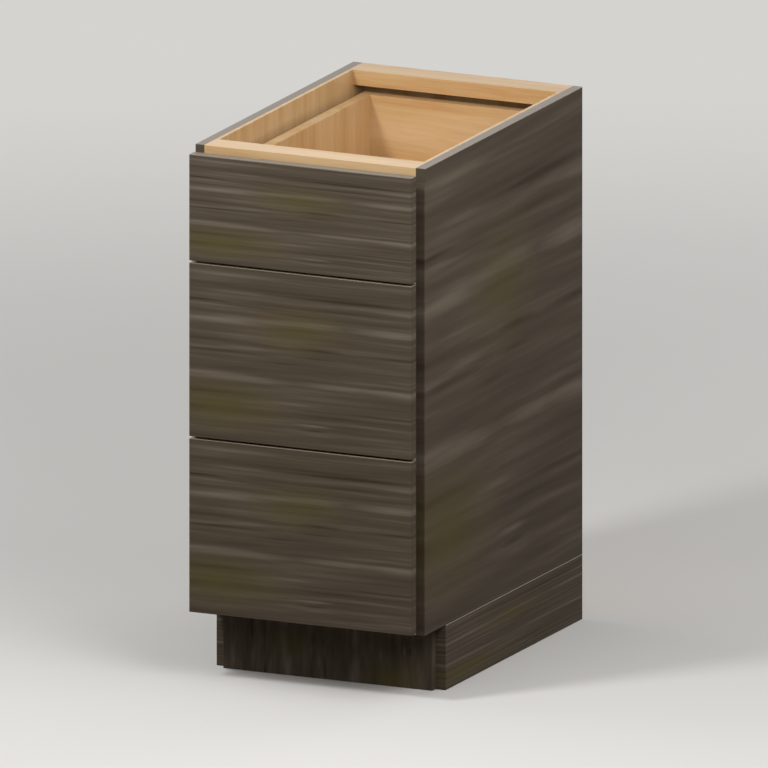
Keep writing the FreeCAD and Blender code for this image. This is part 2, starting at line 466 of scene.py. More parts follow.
def soft_spots(tree, where, spots):
    """The sum of soft-edged spots, each with its place, reach and strength."""
    total = 0.0
    for along, down, reach, thickness, strength in spots:
        placed = add(
            tree, "Mapping", {"vector_type": "TEXTURE"},
            {"Vector": where, "Location": (along, down, 0), "Scale": (reach, thickness, 1)},
        )
        spot = add(tree, "TexGradient", {"gradient_type": "SPHERICAL"}, {"Vector": placed})
        total = add(
            tree, "Math", {"operation": "MULTIPLY_ADD"}, {0: spot.outputs["Fac"], 1: strength, 2: total}
        )
    return total


# The size in millimetres that the print is drawn for, about that of a deep drawer front. Every board shows
# all of it.
PRINT_SIZE = (400, 288)

# The streaks of the printed laminate: where each lies along and down the board, how far it reaches
# each way, all as shares of the board, and how much lighter or darker than the ground it is.
STREAKS = (
    (0.16, 0.045, 0.34, 0.018, 0.55),
    (0.66, 0.050, 0.30, 0.010, -0.30),
    (0.50, 0.115, 1.20, 0.030, -0.35),
    (0.74, 0.137, 0.46, 0.012, -0.75),
    (0.55, 0.168, 0.60, 0.018, 0.35),
    (0.97, 0.172, 0.14, 0.016, 0.50),
    (0.04, 0.198, 0.18, 0.010, -0.95),
    (0.70, 0.200, 0.45, 0.011, -0.55),
    (0.10, 0.222, 0.22, 0.012, 0.40),
    (0.49, 0.241, 0.16, 0.010, -0.55),
    (0.88, 0.245, 0.24, 0.014, -0.30),
    (0.14, 0.300, 0.34, 0.034, 0.75),
    (0.50, 0.295, 0.22, 0.030, 0.60),
    (0.93, 0.298, 0.22, 0.030, 0.85),
    (0.50, 0.328, 0.16, 0.010, -0.85),
    (0.16, 0.380, 0.30, 0.030, -0.20),
    (0.12, 0.430, 0.30, 0.014, -0.45),
    (0.58, 0.430, 0.12, 0.012, -0.90),
    (0.94, 0.432, 0.20, 0.012, -0.80),
    (0.27, 0.460, 0.14, 0.010, 0.40),
    (0.14, 0.487, 0.26, 0.011, -0.60),
    (0.57, 0.480, 0.12, 0.009, -0.60),
    (0.43, 0.525, 0.16, 0.011, -0.50),
    (0.60, 0.575, 0.50, 0.018, -0.35),
    (0.12, 0.632, 0.40, 0.034, 0.60),
    (0.72, 0.628, 0.26, 0.026, 0.80),
    (0.96, 0.636, 0.18, 0.028, 1.00),
    (0.50, 0.690, 1.20, 0.020, -0.20),
    (0.08, 0.722, 0.32, 0.014, -0.70),
    (0.80, 0.725, 0.36, 0.014, -0.35),
    (0.44, 0.754, 0.18, 0.010, 0.45),
    (0.50, 0.779, 1.20, 0.010, -0.55),
    (0.10, 0.820, 0.40, 0.026, -0.80),
    (0.62, 0.812, 0.46, 0.026, -0.45),
    (0.56, 0.864, 0.10, 0.010, 0.75),
    (0.56, 0.892, 0.09, 0.009, -0.70),
    (0.58, 0.916, 0.14, 0.011, 0.45),
    (0.94, 0.870, 0.30, 0.030, 0.20),
    (0.50, 0.985, 1.20, 0.014, -0.30),
)

# Two patches where the print turns towards olive: place, reach and strength, as above.
OLIVE_PATCHES = (
    (0.49, 0.33, 0.26, 0.17, 0.72),
    (0.14, 0.80, 0.36, 0.18, 0.88),
)

# The print's random bands, streaks and hairlines: their millimetres along and down it, and their strength
PRINT_MARKS = ((333.3, 14.4, 0.80), (200, 5.143, 0.45), (100, 1.92, 0.09))

# How far apart the waves in the print's figure are, in millimetres, and how far they pull it, as shares
# of the board
PRINT_WAVES = (153.8, 48)
PRINT_SWAY = (0.12, 0.013, 0)

# How far one unit of tone goes on the way from the dark to the light colour
PRINT_CONTRAST = 0.62


def on_print(along, down):
    """The scale on the print of a pattern whose marks are this many millimetres long and high."""
    return (PRINT_SIZE[0] / along, PRINT_SIZE[1] / down, 1)


def melamine():
    """Thermally fused melamine on particle board. A printed sheet is pressed on with a textured plate. That
    gives a dull, dark wood figure that lies under the surface, with the faint drag of pores along it."""
    board = bpy.context.scene.cabinet_boards
    tree = material("melamine_print")
    printed = add(tree, "Attribute", {"attribute_name": "print"}).outputs["Vector"]
    flat = add(tree, "VectorMath", {"operation": "MULTIPLY"}, {0: printed, 1: (1, 1, 0)})
    bent = wander(tree, flat, on_print(*PRINT_WAVES), PRINT_SWAY, detail=3.0)
    tone = soft_spots(tree, bent, STREAKS)
    for along, down, strength in PRINT_MARKS:
        tone = swing(tree, tone, marks(tree, bent, on_print(along, down), detail=2.0), strength)
    level = add(tree, "Math", {"operation": "MULTIPLY_ADD"}, {0: tone, 1: PRINT_CONTRAST, 2: 0.5})
    toned = add(
        tree, "ValToRGB", inputs={0: level},
        stops=((0, board.laminate_dark), (0.5, board.laminate_base), (1, board.laminate_light)),
    )
    olive = soft_spots(tree, bent, OLIVE_PATCHES)
    tinted = add(
        tree, "Mix", {"data_type": "RGBA", "clamp_factor": True},
        {MIX_FACTOR: olive, MIX_FIRST: toned, MIX_SECOND: (*board.laminate_olive, 1)},
    ).outputs[MIXED_COLOUR]
    # Pores of the pressed plate are 0.3 by 5 mm; drawn at 0.7 by 14 mm, since finer ones don't show
    grain = add(tree, "Attribute", {"attribute_name": "grain"}).outputs["Vector"]
    pores = marks(tree, grain, every(14, 0.7, 0.7), detail=1.0)
    bump = add(tree, "Bump", inputs={"Strength": 0.25, "Distance": mm(0.08), "Height": pores})
    surface(tree, {"Base Color": tinted, "Roughness": 0.5, "Specular IOR Level": 0.03, "Normal": bump})


def edge_band_and_sheen():
    """ABS edge band, extruded and flush-trimmed: a plain strip with faint streaks 2.4 mm apart, smoother than
    the print. Its colour, a little lighter than the print's, is partly a painted sheen, since it goes only on
    faces that look up."""
    band_and_sheen = bpy.context.scene.cabinet_boards.edge_band_and_sheen
    tree = material("abs_edge_band")
    grain = add(tree, "Attribute", {"attribute_name": "grain"}).outputs["Vector"]
    tints = add(
        tree, "ValToRGB", inputs={0: marks(tree, grain, every(170, 2.4, 2.4), detail=2.0)},
        stops=((NOISE_LOW, shaded(band_and_sheen, 0.86)), (NOISE_HIGH, shaded(band_and_sheen, 1.12))),
    )
    surface(tree, {"Base Color": tints, "Roughness": 0.3, "Specular IOR Level": 0.38})


def particle_board():
    """Raw particle board where no band covers it: pressed wood chips, pale and dark, about 2 mm across."""
    core = bpy.context.scene.cabinet_boards.core
    tree = material("particle_board_core")
    place = add(tree, "TexCoord").outputs["Object"]
    chips = add(tree, "TexVoronoi", inputs={"Vector": place, "Scale": every(2.2)})
    tints = add(
        tree, "ValToRGB", inputs={0: chips.outputs["Color"]},
        stops=((0, shaded(core, 0.55)), (1, shaded(core, 1.35))),
    )
    bump = add(
        tree, "Bump", inputs={"Strength": 0.4, "Distance": mm(0.3), "Height": chips.outputs["Distance"]}
    )
    surface(tree, {"Base Color": tints, "Roughness": 0.9, "Specular IOR Level": 0.1, "Normal": bump})


def maple(name, ring_spacing, ring_depth, figure):
    """Hard maple, sanded and clear-lacquered: a warm, even, pale wood. Its growth rings are thin, quiet
    lines, wavy where the board is flat-sawn, over broad soft bands and fine fibres along the board."""
    board = bpy.context.scene.cabinet_boards
    tree = material(name)
    grain = add(tree, "Attribute", {"attribute_name": "grain"}).outputs["Vector"]
    bent = wander(tree, grain, every(330, 70, 70), (0, mm(26), mm(26)), detail=2.0)
    # The rings lie round the heart of the tree, which is some way under the board and tilted to it
    parts = add(tree, "SeparateXYZ", inputs={0: bent})
    heart_tilt = 0.035
    depth = add(
        tree, "Math", {"operation": "MULTIPLY_ADD"},
        {0: parts.outputs["X"], 1: heart_tilt, 2: parts.outputs["Z"]},
    )
    across = add(tree, "CombineXYZ", inputs={"X": parts.outputs["Y"], "Y": depth})
    rings = add(
        tree, "TexWave", {"wave_type": "BANDS", "bands_direction": "DIAGONAL", "wave_profile": "SAW"},
        {
            "Vector": across, "Scale": BAND_PERIOD / ring_spacing,
            "Distortion": 2.2, "Detail": 2.0, "Detail Scale": 1.2,
        },
    ).outputs["Fac"]
    level = add(tree, "Math", {"operation": "MULTIPLY_ADD"}, {0: rings, 1: -ring_depth, 2: 0.5})
    bands = marks(tree, bent, every(620, 38, 38), detail=2.0)
    fibres = marks(tree, bent, every(70, 1.6, 1.6), detail=2.0)
    for pattern, strength in ((bands, figure), (fibres, 0.35)):
        level = swing(tree, level, pattern, strength)
    lifted = add(tree, "Math", {"operation": "ADD", "use_clamp": True}, {0: level, 1: ring_depth / 2})
    toned = add(
        tree, "ValToRGB", inputs={0: lifted},
        stops=((0, board.maple_dark), (0.5, board.maple_base), (1, board.maple_light)),
    )
    bump = add(tree, "Bump", inputs={"Strength": 0.12, "Distance": mm(0.05), "Height": fibres})
    surface(tree, {"Base Color": toned, "Roughness": 0.32, "Specular IOR Level": 0.4, "Normal": bump})


def maple_end_grain():
    """Hard maple sawn across and sanded: darker and warmer than its long grain, with fine pores in faint
    arcs 4 mm apart."""
    end = bpy.context.scene.cabinet_boards.maple_end
    tree = material("maple_end_grain")
    place = add(tree, "TexCoord").outputs["Object"]
    # The pores are 0.1 mm wide; drawn 0.8 mm wide, since finer ones don't show
    pores = add(tree, "TexNoise", inputs={"Vector": place, "Scale": every(0.8), "Detail": 1.0})
    arcs = add(
        tree, "TexWave", {"wave_type": "RINGS", "rings_direction": "X", "wave_profile": "SIN"},
        {"Vector": place, "Scale": RING_PERIOD / mm(4), "Distortion": 1.5, "Detail": 1.0},
    ).outputs["Fac"]
    level = add(tree, "Math", {"operation": "MULTIPLY_ADD"}, {0: arcs, 1: 0.25, 2: pores})
    tints = add(
        tree, "ValToRGB", inputs={0: level},
        stops=((0.35, shaded(end, 0.72)), (0.85, shaded(end, 1.2))),
    )
    surface(tree, {"Base Color": tints, "Roughness": 0.5, "Specular IOR Level": 0.3})


def dulling(tree, pattern, polished, dull):
    """A metal's roughness, which goes from polished to dull as a soft pattern rises."""
    return add(
        tree, "MapRange",
        inputs={
            "Value": pattern, "From Min": NOISE_LOW, "From Max": NOISE_HIGH,
            "To Min": polished, "To Max": dull,
        },
    )


def zinc_plate():
    """Bright zinc plating on cold-rolled sheet: blue-white, with clouds 17 mm across and long rolling lines,
    which are 0.2 mm apart and drawn 1.1 mm apart, since finer ones don't show."""
    zinc = bpy.context.scene.cabinet_runners.zinc
    tree = material("zinc_plated_steel")
    place = add(tree, "TexCoord").outputs["Object"]
    clouds = add(tree, "TexNoise", inputs={"Vector": place, "Scale": every(17), "Detail": 3.0})
    tints = add(
        tree, "ValToRGB", inputs={0: clouds}, stops=((NOISE_LOW, shaded(zinc, 0.88)), (NOISE_HIGH, zinc))
    )
    rolled = marks(tree, place, every(1.1, 83, 1.1), detail=2.0)
    dulled = dulling(tree, rolled, 0.28, 0.42)
    surface(tree, {"Base Color": tints, "Metallic": 1.0, "Roughness": dulled})


def bearing_steel():
    """Through-hardened chrome steel, lapped to a mirror and dimmed by a film of grease in spots of 1.4 mm."""
    steel = bpy.context.scene.cabinet_runners.ball_steel
    tree = material("bearing_steel")
    place = add(tree, "TexCoord").outputs["Object"]
    film = add(tree, "TexNoise", inputs={"Vector": place, "Scale": every(1.4), "Detail": 2.0})
    tints = add(tree, "ValToRGB", inputs={0: film}, stops=((0.35, shaded(steel, 0.8)), (0.65, steel)))
    surface(tree, {"Base Color": tints, "Metallic": 1.0, "Roughness": dulling(tree, film, 0.1, 0.24)})


def screw_plate():
    """Zinc plating on cold-headed screws: warmer than the rails', with tool marks of the heading die. They
    are 0.3 mm across and drawn at 1.1 mm, since finer ones don't show."""
    zinc = bpy.context.scene.cabinet_runners.screw_zinc
    tree = material("screw_plate")
    place = add(tree, "TexCoord").outputs["Object"]
    dents = add(tree, "TexNoise", inputs={"Vector": place, "Scale": every(1.1), "Detail": 2.0})
    tints = add(
        tree, "ValToRGB", inputs={0: dents}, stops=((NOISE_LOW, shaded(zinc, 0.78)), (NOISE_HIGH, zinc))
    )
    surface(tree, {"Base Color": tints, "Metallic": 1.0, "Roughness": dulling(tree, dents, 0.22, 0.38)})


def lever_plastic():
    """Acetal, injection-moulded in a spark-eroded mould: black, waxy, with a fine even grain. It is 0.1 mm
    across and drawn at 0.6 mm, since finer grain doesn't show."""
    plastic = bpy.context.scene.cabinet_runners.lever_plastic
    tree = material("acetal_moulding")
    place = add(tree, "TexCoord").outputs["Object"]
    grain = add(tree, "TexNoise", inputs={"Vector": place, "Scale": every(0.6), "Detail": 2.0})
    tints = add(
        tree, "ValToRGB", inputs={0: grain}, stops=((0, shaded(plastic, 0.7)), (1, shaded(plastic, 1.4)))
    )
    bump = add(tree, "Bump", inputs={"Strength": 0.2, "Distance": mm(0.05), "Height": grain})
    surface(tree, {"Base Color": tints, "Roughness": 0.45, "IOR": 1.48, "Normal": bump})


def seen_rays(tree):
    """1 for what the camera, a reflection or a clear piece sees, and 0 for light on its way round."""
    path = add(tree, "LightPath")
    seen = path.outputs["Is Camera Ray"]
    for ray in ("Is Glossy Ray", "Is Transmission Ray"):
        seen = add(tree, "Math", {"operation": "MAXIMUM"}, {0: seen, 1: path.outputs[ray]})
    return seen


def studio_paper():
    """Matt studio paper, pale wherever it is seen, with soft clouds 330 mm across. Far from the object, where
    the lamps don't reach, it glows at the same paleness. Near the object it only takes light and shadow."""
    stage = bpy.context.scene.cabinet_stage
    tree = material("studio_paper")
    seen = seen_rays(tree)
    place = add(tree, "TexCoord").outputs["Object"]
    clouds = add(tree, "TexNoise", inputs={"Vector": place, "Scale": every(330), "Detail": 2.0})
    tones = add(
        tree, "ValToRGB", inputs={0: clouds}, stops=((0, shaded(stage.floor, 0.985)), (1, stage.floor))
    )
    shown = add(
        tree, "Mix", {"data_type": "RGBA"},
        {MIX_FACTOR: seen, MIX_FIRST: (*stage.floor_bounce, 1), MIX_SECOND: tones},
    ).outputs[MIXED_COLOUR]
    paper = add(
        tree, "BsdfPrincipled", inputs={"Base Color": shown, "Roughness": 0.9, "Specular IOR Level": 0.0}
    )
    distance = add(tree, "VectorMath", {"operation": "LENGTH"}, {0: place}).outputs["Value"]
    far = add(
        tree, "MapRange", {"interpolation_type": "SMOOTHSTEP"},
        {
            "Value": distance, "From Min": stage.glow_start, "From Max": stage.glow_end,
            "To Min": 0.0, "To Max": 0.9,
        },
    )
    glow = add(tree, "Math", {"operation": "MULTIPLY"}, {0: far, 1: seen})
    backdrop = add(tree, "Emission", inputs={"Color": tones, "Strength": 1.0})
    mixed = add(tree, "MixShader", inputs={0: glow, 1: paper, 2: backdrop})
    add(tree, "OutputMaterial", inputs={"Surface": mixed})


# ---------------------------------------------------------------------------------------------
# Boards
# ---------------------------------------------------------------------------------------------

# How the print runs over each laminated board: along, down and through it
LAMINATED_CARCASS = {
    "left_side_panel": ("-y", "-z", "x"),
    "right_side_panel": ("y", "-z", "x"),
    "plinth_left_side": ("-y", "-z", "x"),
    "plinth_right_side": ("y", "-z", "x"),
    "toe_board": ("z", "x", "y"),
}
DRAWER_FRONT = ("x", "-z", "y")

# The places of a laminated board's materials, and how far a face looks up where the band, lighter than the
# print as a painted sheen, covers it
PRINTED, BAND_AND_PAINTED_SHEEN, RAW = range(3)
LOOKS_UP = 0.2

# How the grain runs in each maple board: along, across and through it
MAPLE_CARCASS = {
    "left_side_liner": ("z", "y", "x"),
    "right_side_liner": ("z", "y", "x"),
    "bottom_panel": ("y", "x", "z"),
    "back_panel": ("z", "x", "y"),
    "front_top_rail": ("x", "z", "y"),
    "back_top_rail": ("x", "z", "y"),
    "plinth_front_rail": ("x", "z", "y"),
    "plinth_back_rail": ("x", "z", "y"),
}
MAPLE_BOX = {
    "box_front": ("x", "z", "y"),
    "box_back": ("x", "z", "y"),
    "box_left_side": ("z", "y", "x"),
    "box_right_side": ("z", "y", "x"),
    "box_bottom": ("y", "x", "z"),
}

# The places of a maple board's materials
LONG_GRAIN, END_GRAIN = range(2)


def dress_laminated(node, axes):
    """A laminated board. The print wraps its edges, but for the top edge, which is banded on all boards save
    the toe board, the band lighter as a painted sheen from above, and for the back edge of a side panel,
    which is raw."""
    piece = copy_of_node(node, f"{node}_laminated")
    round_edges(piece, bpy.context.scene.cabinet_boards.panel_rounding)
    lay_grain(piece, node, axes)
    coat(piece, "melamine_print", "abs_edge_band", "particle_board_core")
    has_band_and_sheen = node != "toe_board"
    raw_behind = node.endswith("side_panel")
    for face in piece.data.polygons:
        # Faces that look up take the band, whose lighter colour is partly a painted sheen from above
        if has_band_and_sheen and face.normal.z > LOOKS_UP:
            face.material_index = BAND_AND_PAINTED_SHEEN
        elif raw_behind and face.normal.y > FACING:
            face.material_index = RAW
        else:
            face.material_index = PRINTED
    seat(piece, node)


def dress_maple(node, axes, finish, rounding):
    """A maple board with its edges broken. The ends of boards that run across the cabinet show end grain,
    as at the dovetails' pins."""
    piece = copy_of_node(node, f"{node}_maple")
    round_edges(piece, rounding)
    lay_grain(piece, node, axes)
    coat(piece, finish, "maple_end_grain")
    runs_across = finish == "solid_maple" and axes[0] == "x"
    for face in piece.data.polygons:
        is_end = runs_across and abs(face.normal.x) > FACING
        face.material_index = END_GRAIN if is_end else LONG_GRAIN
    seat(piece, node)


class CABINET_OT_laminated_boards(Operator):
    """Dress the side panels, the plinth's sides and the toe board in laminate"""

    bl_idname = "cabinet.laminated_boards"
    bl_label = "Laminated boards"

    def execute(self, context):
        melamine()
        edge_band_and_sheen()
        particle_board()
        for node, axes in LAMINATED_CARCASS.items():
            dress_laminated(node, axes)
        return {"FINISHED"}


class CABINET_OT_drawer_fronts(Operator):
    """Dress the three drawer fronts in laminate"""

    bl_idname = "cabinet.drawer_fronts"
    bl_label = "Drawer fronts"

    def execute(self, context):
        for drawer in DRAWERS:
            dress_laminated(f"{drawer}_drawer_front", DRAWER_FRONT)
        return {"FINISHED"}


class CABINET_OT_maple_boards(Operator):
    """Dress the liners, the bottom, the back and the rails in maple"""

    bl_idname = "cabinet.maple_boards"
    bl_label = "Maple boards"

    def execute(self, context):
        rounding = context.scene.cabinet_boards.maple_rounding
        maple("maple_veneer", ring_spacing=mm(22), ring_depth=0.13, figure=0.95)
        maple("solid_maple", ring_spacing=mm(16), ring_depth=0.15, figure=0.80)
        maple_end_grain()
        for node, axes in MAPLE_CARCASS.items():
            finish = "solid_maple" if node.endswith("rail") else "maple_veneer"
            dress_maple(node, axes, finish, rounding)
        return {"FINISHED"}


class CABINET_OT_drawer_boxes(Operator):
    """Dress the dovetailed drawer boxes in maple"""

    bl_idname = "cabinet.drawer_boxes"
    bl_label = "Drawer boxes"

    def execute(self, context):
        rounding = context.scene.cabinet_boards.joint_rounding
        for drawer in DRAWERS:
            for part, axes in MAPLE_BOX.items():
                finish = "maple_veneer" if part == "box_bottom" else "solid_maple"
                dress_maple(f"{drawer}_{part}", axes, finish, rounding)
        return {"FINISHED"}


# ---------------------------------------------------------------------------------------------
# Runners
# ---------------------------------------------------------------------------------------------

# The holes and slots of the rails, in millimetres along and up
HEAD_HOLE = (8.2, 8.2)
SHANK_HOLE = (4.6, 4.6)
LEVEL_SLOT = (10, 4.6)
UPRIGHT_SLOT = (4.6, 10)
LONG_OPENING = (16, 7)
ROUND_OPENING = (9, 9)

# What is punched through each rail's web, by its millimetres behind the rail's front end
PUNCHED = {
    "outer_rail": {
        37: HEAD_HOLE, 69: UPRIGHT_SLOT, 101: LEVEL_SLOT, 229: HEAD_HOLE,
        325: UPRIGHT_SLOT, 421: LEVEL_SLOT, 517: HEAD_HOLE,
    },
    "carrier_rail": {
        52: LONG_OPENING, 196: ROUND_OPENING, 292: LONG_OPENING, 388: ROUND_OPENING, 516: LONG_OPENING,
    },
    "inner_rail": {
        35: SHANK_HOLE, 67: UPRIGHT_SLOT, 99: LEVEL_SLOT, 257: SHANK_HOLE,
        321: UPRIGHT_SLOT, 417: LEVEL_SLOT, 513: SHANK_HOLE,
    },
}

# Where screws hold the rails: millimetres behind their front ends
SCREWED = {"outer_rail": (37, 229, 517), "inner_rail": (35, 257, 513)}

# How many radians a rail's screw is turned further than the last one, and a box front's screw for each
# metre of its place
TURN_APART = 0.7
TURN_BY_PLACE = Vector((40, 0, 30))


def web_place(node):
    """Where the flat side of a rail's web lies, and which way its channel opens along X."""
    low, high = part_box(node)
    on_left = high.x < 0
    faces_right = on_left != node.endswith("_inner_rail")
    return (low.x, 1) if faces_right else (high.x, -1)


def half_height(node):
    """How far a node reaches above its middle."""
    low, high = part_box(node)
    return (high.z - low.z) / 2


def middle_height(node):
    """The height of a node's middle."""
    low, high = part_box(node)
    return (high.z + low.z) / 2


def punch(node):
    """The stamp that takes a rail's slots and holes out of its web."""
    through = bpy.context.scene.cabinet_runners.rail_sheet * 3
    web_x, _ = web_place(node)
    front_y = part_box(node)[0].y
    kind = next(kind for kind in PUNCHED if node.endswith(kind))
    stamps = []
    for behind, (along, up) in PUNCHED[kind].items():
        radius = mm(min(along, up)) / 2
        stretch = Vector((0, mm(along) / 2 - radius, mm(up) / 2 - radius))
        middle = Vector((web_x, front_y + mm(behind), middle_height(node)))
        stamp = start(
            bpy.ops.mesh.primitive_cylinder_add, vertices=20, radius=radius, depth=through,
            location=middle, rotation=(0, math.pi / 2, 0),
        )
        for corner in stamp.data.vertices:
            side = (corner.co - middle).dot(stretch)
            corner.co += stretch if side > 0 else -stretch
        stamps.append(stamp)
    return join(stamps, "punch")


class CABINET_OT_runner_rails(Operator):
    """Make the runners' plated rails, with the slots and holes in their webs"""

    bl_idname = "cabinet.runner_rails"
    bl_label = "Runner rails"

    def execute(self, context):
        zinc_plate()
        for node in list(frame["nodes"]):
            if node.endswith(tuple(PUNCHED)):
                piece = copy_of_node(node, f"{node}_plated")
                cut(piece, punch(node))
                shade(piece, crease=32)
                coat(piece, "zinc_plated_steel")
                seat(piece, node)
        return {"FINISHED"}


def ball_row(node, balls_in):
    """The place of a row's first ball, at height 0, and the pitch of the balls."""
    low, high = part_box(node)
    pitch = (high.y - low.y) / bpy.context.scene.cabinet_runners.balls_in_row
    return Vector((low.x + balls_in, low.y + pitch / 2, 0)), pitch


def cage_channel(node, balls_in):
    """A pair of ball cages at height 0: pressed channels with a window at each ball, left and right alike."""
    runner = bpy.context.scene.cabinet_runners
    ball, pitch = ball_row(node, balls_in)
    window = runner.ball_radius + runner.window_play
    back_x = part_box(node)[0].x
    reach = balls_in + window + runner.cage_rim
    piece = start(
        bpy.ops.mesh.primitive_cube_add, size=1, location=(back_x + reach / 2, ball.y, 0),
        scale=(reach, pitch, half_height(node) * 2),
    )
    with edit_mode(piece):
        # The channel is open at its front and at both ends, with a window in its upper and its lower lip
        select_faces(piece, lambda middle, normal: normal.x > FACING or abs(normal.y) > FACING)
        bpy.ops.mesh.delete(type="FACE")
        for direction in (Vector((1, 0, 0)), Vector((0, 1, 0))):
            for side in (-window, window):
                bpy.ops.mesh.select_all(action="SELECT")
                bpy.ops.mesh.bisect(plane_co=ball + direction * side, plane_no=direction)
        select_faces(piece, lambda at, _: abs(at.y - ball.y) < window and abs(at.x - ball.x) < window)
        bpy.ops.mesh.delete(type="FACE")
    repeat(piece, runner.balls_in_row, (0, pitch, 0), joined=True)
    modify(piece, "SOLIDIFY", thickness=runner.cage_sheet, offset=-1)
    modify(piece, "BEVEL", width=runner.cage_edge, segments=1, limit_method="ANGLE")
    mirror_across(piece)
    return piece


def cage_balls(node, balls_in):
    """The bearing balls of a pair of cages at height 0, in four rows."""
    runner = bpy.context.scene.cabinet_runners
    ball, pitch = ball_row(node, balls_in)
    row_z = half_height(node) - runner.cage_sheet / 2
    piece = start(
        bpy.ops.mesh.primitive_uv_sphere_add, segments=10, ring_count=6, radius=runner.ball_radius,
        location=(ball.x, ball.y, row_z),
    )
    repeat(piece, runner.balls_in_row, (0, pitch, 0))
    repeat(piece, 2, (0, 0, -2 * row_z))
    mirror_across(piece)
    bpy.ops.object.shade_smooth()
    return piece


class CABINET_OT_ball_cages(Operator):
    """Make the runners' ball cages and their bearing balls"""

    bl_idname = "cabinet.ball_cages"
    bl_label = "Ball cages"

    def execute(self, context):
        runner = context.scene.cabinet_runners
        bearing_steel()
        for cages, balls_in in (
            ("outer_ball_cages", runner.outer_balls_in), ("inner_ball_cages", runner.inner_balls_in),
        ):
            channel = cage_channel(f"top_{cages}", balls_in)
            balls = cage_balls(f"top_{cages}", balls_in)
            for drawer in DRAWERS:
                node = f"{drawer}_{cages}"
                placing = Matrix.Translation((0, 0, middle_height(node)))
                for made, name, finish in (
                    (channel, "channel", "zinc_plated_steel"), (balls, "balls", "bearing_steel"),
                ):
                    piece = copy_to(made, f"{node}_{name}", placing)
                    coat(piece, finish)
                    seat(piece, node)
            bpy.data.objects.remove(channel)
            bpy.data.objects.remove(balls)
        return {"FINISHED"}


def screw_head(diameter, height):
    """A screw's head on height 0, seen from above: a dome over a short rim, with a cross recess."""
    radius = diameter / 2
    rim = height / 4
    slot_width = radius * 0.24
    slot_reach = radius * 0.36
    recess_depth = height * 0.6
    head = start(
        bpy.ops.mesh.primitive_uv_sphere_add, segments=24, ring_count=12, radius=1, location=(0, 0, rim),
        scale=(radius, radius, height - rim),
    )
    with edit_mode(head):
        bpy.ops.mesh.select_all(action="SELECT")
        bpy.ops.mesh.bisect(plane_co=(0, 0, rim), plane_no=(0, 0, 1), use_fill=True, clear_inner=True)
        select_faces(head, lambda middle, normal: normal.z < -FACING)
        bpy.ops.mesh.extrude_region_move(TRANSFORM_OT_translate={"value": (0, 0, -rim)})
    driver = start(
        bpy.ops.mesh.primitive_cube_add, size=1, location=(0, 0, height),
        scale=(slot_width, slot_width, recess_depth * 2),
    )
    with edit_mode(driver):
        select_faces(driver, lambda middle, normal: abs(normal.z) < FACING)
        bpy.ops.mesh.extrude_faces_move(TRANSFORM_OT_shrink_fatten={"value": slot_reach})
    cut(head, driver)
    shade(head, crease=40)
    return head


def drive_screws(head, placings, node, name):
    """Copies of a screw's head at their places, as one piece that rides with its node."""
    piece = join([copy_to(head, "head", placing) for placing in placings], name)
    coat(piece, "screw_plate")
    seat(piece, node, stands_for_node=False)


def rail_screw_places(node, kind):
    """Where the screws' heads lie in a rail: sunk into an outer rail's web, and on an inner rail's."""
    web_x, opens = web_place(node)
    seat_x = web_x if kind == "outer_rail" else web_x + opens * bpy.context.scene.cabinet_runners.rail_sheet
    facing = Matrix.Rotation(opens * math.pi / 2, 4, "Y")
    for number, behind in enumerate(SCREWED[kind]):
        place = (seat_x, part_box(node)[0].y + mm(behind), middle_height(node))
        # No two screws stop at the same turn
        turn = Matrix.Rotation(number * TURN_APART + len(node), 4, "Z")
        yield Matrix.Translation(place) @ facing @ turn


def front_screw_places(drawer):
    """Where the four screws' heads lie that hold a drawer's front from inside its box."""
    margin = bpy.context.scene.cabinet_runners.screw_margin
    inside_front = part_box(f"{drawer}_box_front")[1]
    floor_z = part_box(f"{drawer}_box_bottom")[1].z
    side_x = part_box(f"{drawer}_box_right_side")[0].x
    facing = Matrix.Rotation(-math.pi / 2, 4, "X")
    for x in (margin - side_x, side_x - margin):
        for z in (floor_z + margin / 2, inside_front.z - margin / 2):
            place = Vector((x, inside_front.y, z))
            turn = Matrix.Rotation(place.dot(TURN_BY_PLACE), 4, "Z")
            yield Matrix.Translation(place) @ facing @ turn


class CABINET_OT_screws(Operator):
    """Make the screws of the runners and of the drawer fronts"""

    bl_idname = "cabinet.screws"
    bl_label = "Screws"

    def execute(self, context):
        runner = context.scene.cabinet_runners
        screw_plate()
        rail_heads = {
            "outer_rail": screw_head(runner.rail_screw, runner.rail_sheet),
            "inner_rail": screw_head(runner.rail_screw, runner.rail_screw_height),
        }
        front_head = screw_head(runner.front_screw, runner.front_screw_height)
        for drawer in DRAWERS:
            for side in SIDES:
                for kind, head in rail_heads.items():
                    node = f"{drawer}_{side}_{kind}"
                    drive_screws(head, rail_screw_places(node, kind), node, f"{node}_screws")
        for drawer in DRAWERS:
            node = f"{drawer}_box_front"
            drive_screws(front_head, front_screw_places(drawer), node, f"{drawer}_front_screws")
        for head in (*rail_heads.values(), front_head):
            bpy.data.objects.remove(head)
        return {"FINISHED"}


